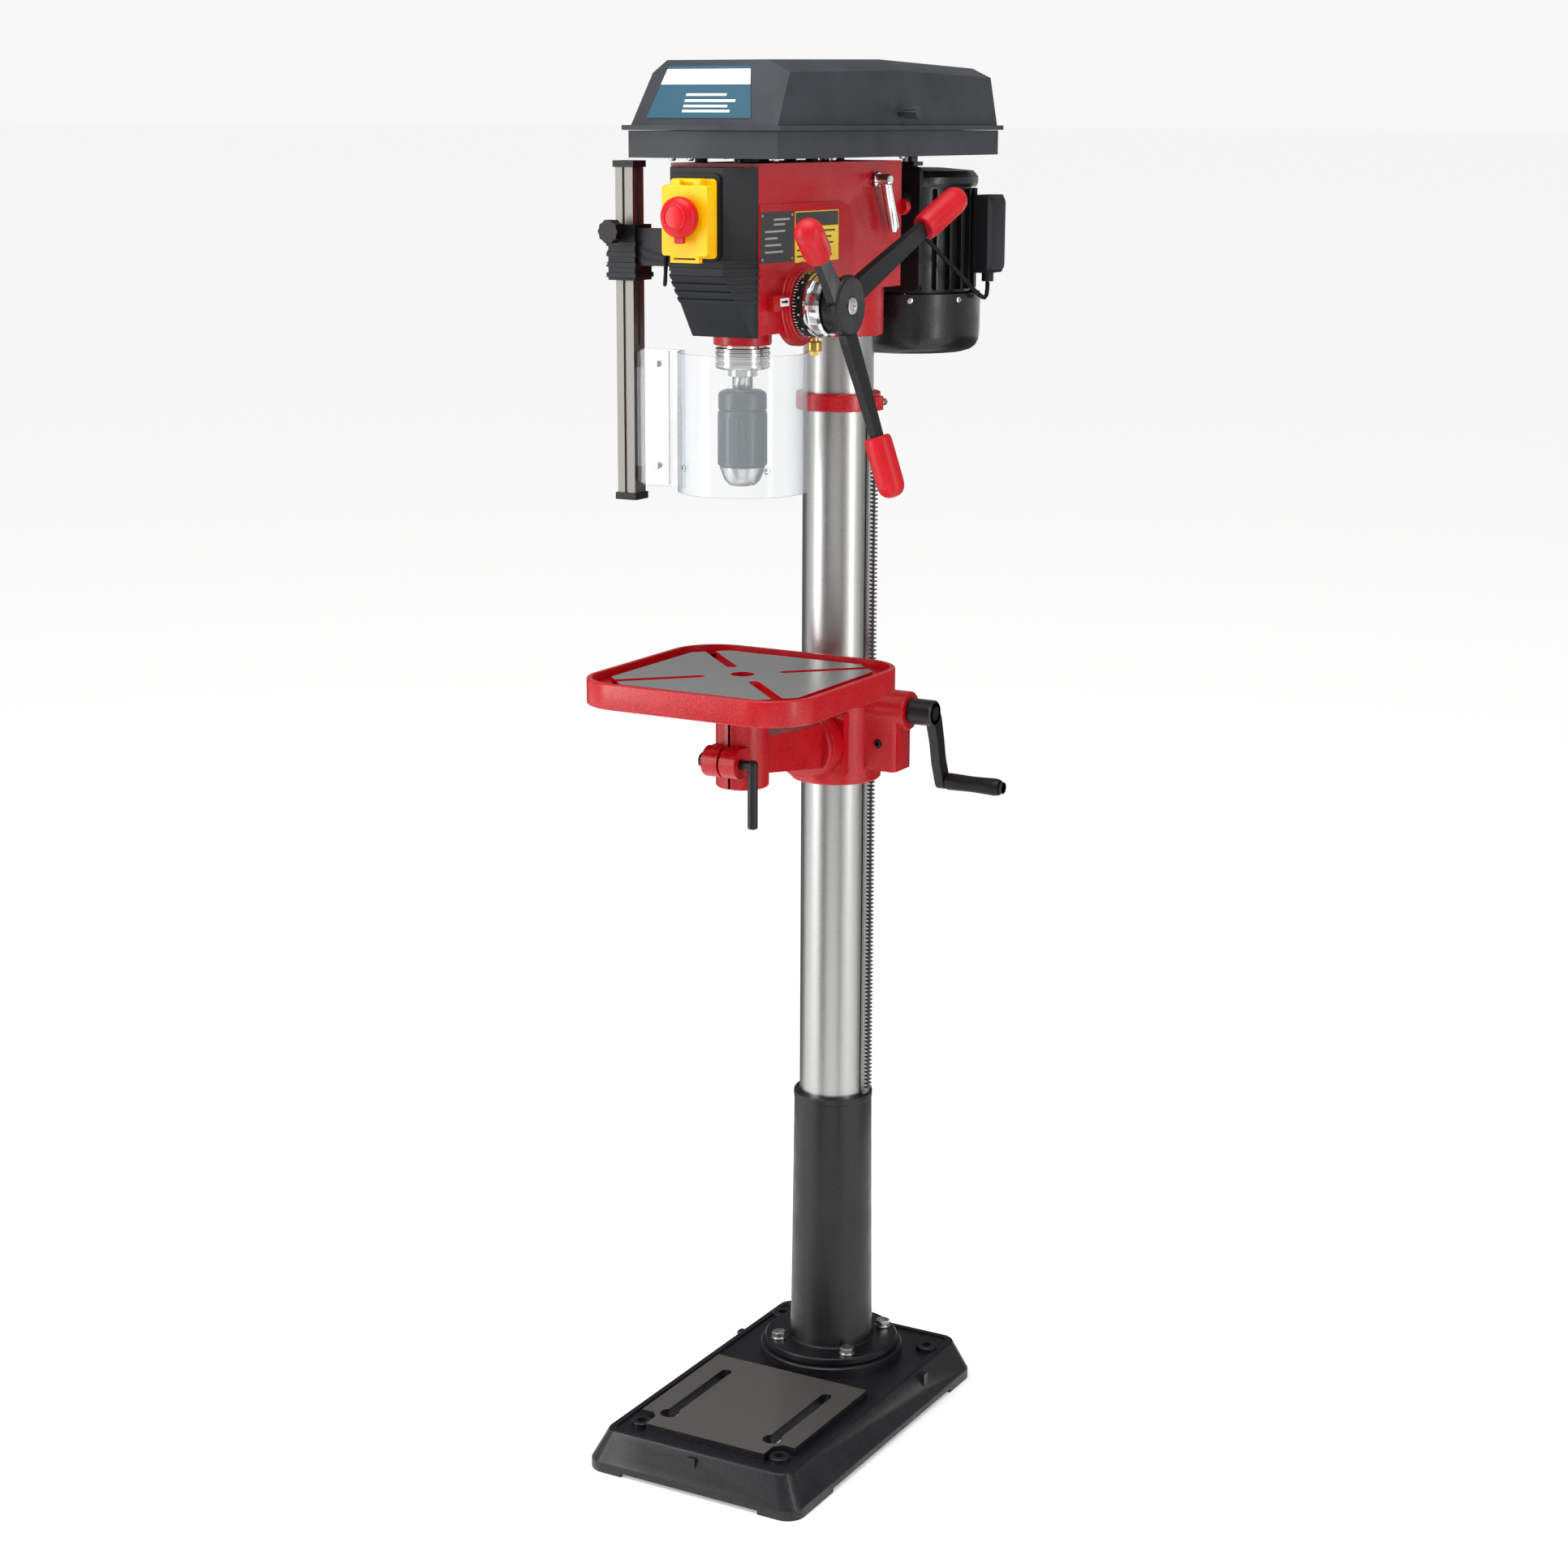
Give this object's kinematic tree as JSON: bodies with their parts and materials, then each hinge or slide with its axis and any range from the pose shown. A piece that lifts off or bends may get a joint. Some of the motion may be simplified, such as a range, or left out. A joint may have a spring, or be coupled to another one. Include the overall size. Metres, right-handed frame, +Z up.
{
  "type": "drill press",
  "caption": "Floor-standing drill press with a tilting table on a rack, belt-driven spindle with lever feed, chuck guard and stop switch.",
  "frame": {"origin": "on the column axis, on the floor under the base", "axes": "+Z up the column, -Y towards the operator, +X towards the feed handles"},
  "size_m": [0.3585, 0.6231, 1.577],
  "materials": {
    "red_paint": "hammered gloss",
    "base_paint": "satin black",
    "black_paint": "satin black",
    "black_plastic": "moulded black",
    "cover_plastic": "dark grey, lightly grained",
    "brushed_steel": "turned and ground",
    "polished_chrome": "polished",
    "dark_steel": "darkened steel",
    "red_grip": "red moulded",
    "yellow_plastic": "yellow moulded",
    "green_plastic": "green moulded",
    "pulley_alloy": "machined",
    "belt_rubber": "matt",
    "clear_guard": "clear sheet"
  },
  "bodies": {
    "base": {"base_casting": "base_paint", "column_foot": "black_paint", "flange_bolt_1": "brushed_steel", "flange_bolt_2": "brushed_steel", "flange_bolt_3": "brushed_steel", "flange_bolt_4": "brushed_steel", "column_tube": "brushed_steel", "rack_collar": "red_paint", "head_casting": "red_paint", "front_cover": "black_plastic", "switch_body": "yellow_plastic", "belt_tray": "cover_plastic", "idler_post": "dark_steel", "guard_bracket": "black_paint", "spring_cap": "black_paint", "interlock_cable": "belt_rubber", "front_belt": "belt_rubber", "rear_belt": "belt_rubber"},
    "rack": {"height_rack": "brushed_steel"},
    "bracket": {"table_bracket": "red_paint"},
    "lock": {"column_lock": "black_paint"},
    "crank": {"lift_crank": "black_paint"},
    "crank_handle": {"crank_grip": "black_plastic"},
    "arm": {"table_arm": "red_paint"},
    "table": {"work_table": "red_paint"},
    "table_clamp": {"table_clamp_lever": "black_paint"},
    "flap": {"switch_flap": "yellow_plastic"},
    "stop_head": {"stop_button": "red_grip"},
    "start_push": {"start_key": "green_plastic"},
    "off_push": {"off_key": "red_grip"},
    "lid": {"belt_lid": "cover_plastic"},
    "front_pulley": {"spindle_pulley": "pulley_alloy"},
    "middle_pulley": {"idler_pulley": "pulley_alloy"},
    "motor": {"motor_housing": "black_paint", "fan_cover": "black_paint", "terminal_box": "black_paint", "motor_bracket": "black_paint", "slide_bar_1": "brushed_steel", "slide_bar_2": "brushed_steel", "motor_lead": "belt_rubber"},
    "rotor": {"motor_rotor": "brushed_steel", "motor_pulley": "pulley_alloy"},
    "tension": {"tension_lever": "polished_chrome"},
    "quill_slide": {"quill": "brushed_steel"},
    "feed": {"feed_shaft": "brushed_steel", "stop_ring": "polished_chrome", "feed_hub": "black_paint", "feed_arm_1": "dark_steel", "feed_arm_2": "dark_steel", "feed_arm_3": "dark_steel", "feed_grip_1": "red_grip", "feed_grip_2": "red_grip", "feed_grip_3": "red_grip"},
    "depth_scale": {"depth_ring": "dark_steel"},
    "drill_spindle": {"spindle": "brushed_steel", "chuck_body": "dark_steel"},
    "chuck_collar": {"chuck_sleeve": "dark_steel"},
    "post": {"guard_post": "pulley_alloy"},
    "post_knob": {"guard_knob": "black_plastic"},
    "screen": {"guard_screen": "clear_guard"}
  },
  "joints": [
    {"name": "table_swing", "type": "hinge", "parent": "base", "child": "rack", "pos_m": [0, 0, 0.8], "axis": [0, 0, 1], "range_deg": [-90, 90]},
    {"name": "table_height", "type": "slide", "parent": "rack", "child": "bracket", "axis": [0, 0, 1], "range_m": [-0.3605, 0.1805]},
    {"name": "column_clamp", "type": "hinge", "parent": "bracket", "child": "lock", "pos_m": [0, 0.064, 0.814], "axis": [1, 0, 0], "range_deg": [-60, 12]},
    {"name": "crank_turn", "type": "hinge", "parent": "bracket", "child": "crank", "pos_m": [0, 0, 0.854], "axis": [1, 0, 0], "range_deg": [-10800, 5400]},
    {"name": "crank_grip_spin", "type": "hinge", "parent": "crank", "child": "crank_handle", "pos_m": [0, 0.031, 0.769], "axis": [1, 0, 0], "continuous": true},
    {"name": "table_tilt", "type": "hinge", "parent": "bracket", "child": "arm", "pos_m": [0, 0, 0.816], "axis": [0, 1, 0], "range_deg": [-45, 45]},
    {"name": "table_turn", "type": "hinge", "parent": "arm", "child": "table", "pos_m": [0, -0.216, 0.898], "axis": [0, 0, 1], "continuous": true},
    {"name": "table_clamp_turn", "type": "hinge", "parent": "arm", "child": "table_clamp", "pos_m": [0, -0.256, 0.832], "axis": [1, 0, 0], "range_deg": [-40, 80]},
    {"name": "flap_lift", "type": "hinge", "parent": "base", "child": "flap", "pos_m": [0, -0.3219, 1.451], "axis": [1, 0, 0], "range_deg": [-100, 0]},
    {"name": "stop_press", "type": "slide", "parent": "flap", "child": "stop_head", "axis": [0, 1, 0], "range_m": [0, 0.0035], "stiffness_N_per_m": 600, "springref_m": -0.0005},
    {"name": "start_press", "type": "slide", "parent": "base", "child": "start_push", "axis": [0, 1, 0], "range_m": [0, 0.003], "stiffness_N_per_m": 500, "springref_m": -0.0005},
    {"name": "off_press", "type": "slide", "parent": "base", "child": "off_push", "axis": [0, 1, 0], "range_m": [0, 0.003], "stiffness_N_per_m": 500, "springref_m": -0.0005},
    {"name": "lid_lift", "type": "hinge", "parent": "base", "child": "lid", "pos_m": [-0.096, 0, 1.498], "axis": [0, 1, 0], "range_deg": [-85, 0]},
    {"name": "front_pulley_spin", "type": "hinge", "parent": "base", "child": "front_pulley", "pos_m": [0, -0.216, 1.483], "axis": [0, 0, 1], "continuous": true},
    {"name": "middle_pulley_spin", "type": "hinge", "parent": "base", "child": "middle_pulley", "pos_m": [0, -0.034, 1.483], "axis": [0, 0, 1], "continuous": true},
    {"name": "motor_slide", "type": "slide", "parent": "base", "child": "motor", "axis": [0, 1, 0], "range_m": [-0.012, 0]},
    {"name": "rotor_spin", "type": "hinge", "parent": "motor", "child": "rotor", "pos_m": [0, 0.172, 1.4], "axis": [0, 0, 1], "continuous": true},
    {"name": "tension_turn", "type": "hinge", "parent": "base", "child": "tension", "pos_m": [0, -0.017, 1.449], "axis": [1, 0, 0], "range_deg": [-62, 2]},
    {"name": "quill_feed", "type": "slide", "parent": "base", "child": "quill_slide", "axis": [0, 0, -1], "range_m": [0, 0.08], "stiffness_N_per_m": 150, "springref_m": -0.33},
    {"name": "feed_turn", "type": "hinge", "parent": "base", "child": "feed", "pos_m": [0, -0.184, 1.3224], "axis": [1, 0, 0], "range_deg": [-5, 500]},
    {"name": "depth_set", "type": "hinge", "parent": "feed", "child": "depth_scale", "pos_m": [0.066, -0.184, 1.3224], "axis": [1, 0, 0], "range_deg": [-170, 170]},
    {"name": "spindle_spin", "type": "hinge", "parent": "quill_slide", "child": "drill_spindle", "pos_m": [0, -0.216, 1.226], "axis": [0, 0, 1], "continuous": true},
    {"name": "chuck_turn", "type": "hinge", "parent": "drill_spindle", "child": "chuck_collar", "pos_m": [0, -0.216, 1.18], "axis": [0, 0, 1], "range_deg": [-170, 170]},
    {"name": "guard_height", "type": "slide", "parent": "base", "child": "post", "axis": [0, 0, 1], "range_m": [-0.058, 0.006]},
    {"name": "guard_knob_turn", "type": "hinge", "parent": "base", "child": "post_knob", "pos_m": [-0.142, 0, 1.396], "axis": [0, 1, 0], "range_deg": [-180, 180]},
    {"name": "guard_swing", "type": "hinge", "parent": "post", "child": "screen", "pos_m": [-0.123, -0.226, 1.2], "axis": [0, 0, 1], "range_deg": [-110, 0]}
  ],
  "couplings": [
    {"joint": "table_height", "follows": "crank_turn", "m_per_rad": 0.0019099},
    {"joint": "feed_turn", "follows": "quill_feed", "rad_per_m": 107.5},
    {"joint": "tension_turn", "follows": "motor_slide", "rad_per_m": 87},
    {"joint": "middle_pulley_spin", "follows": "rotor_spin", "ratio": 0.69355},
    {"joint": "front_pulley_spin", "follows": "rotor_spin", "ratio": 0.69355},
    {"joint": "spindle_spin", "follows": "rotor_spin", "ratio": 0.69355}
  ]
}
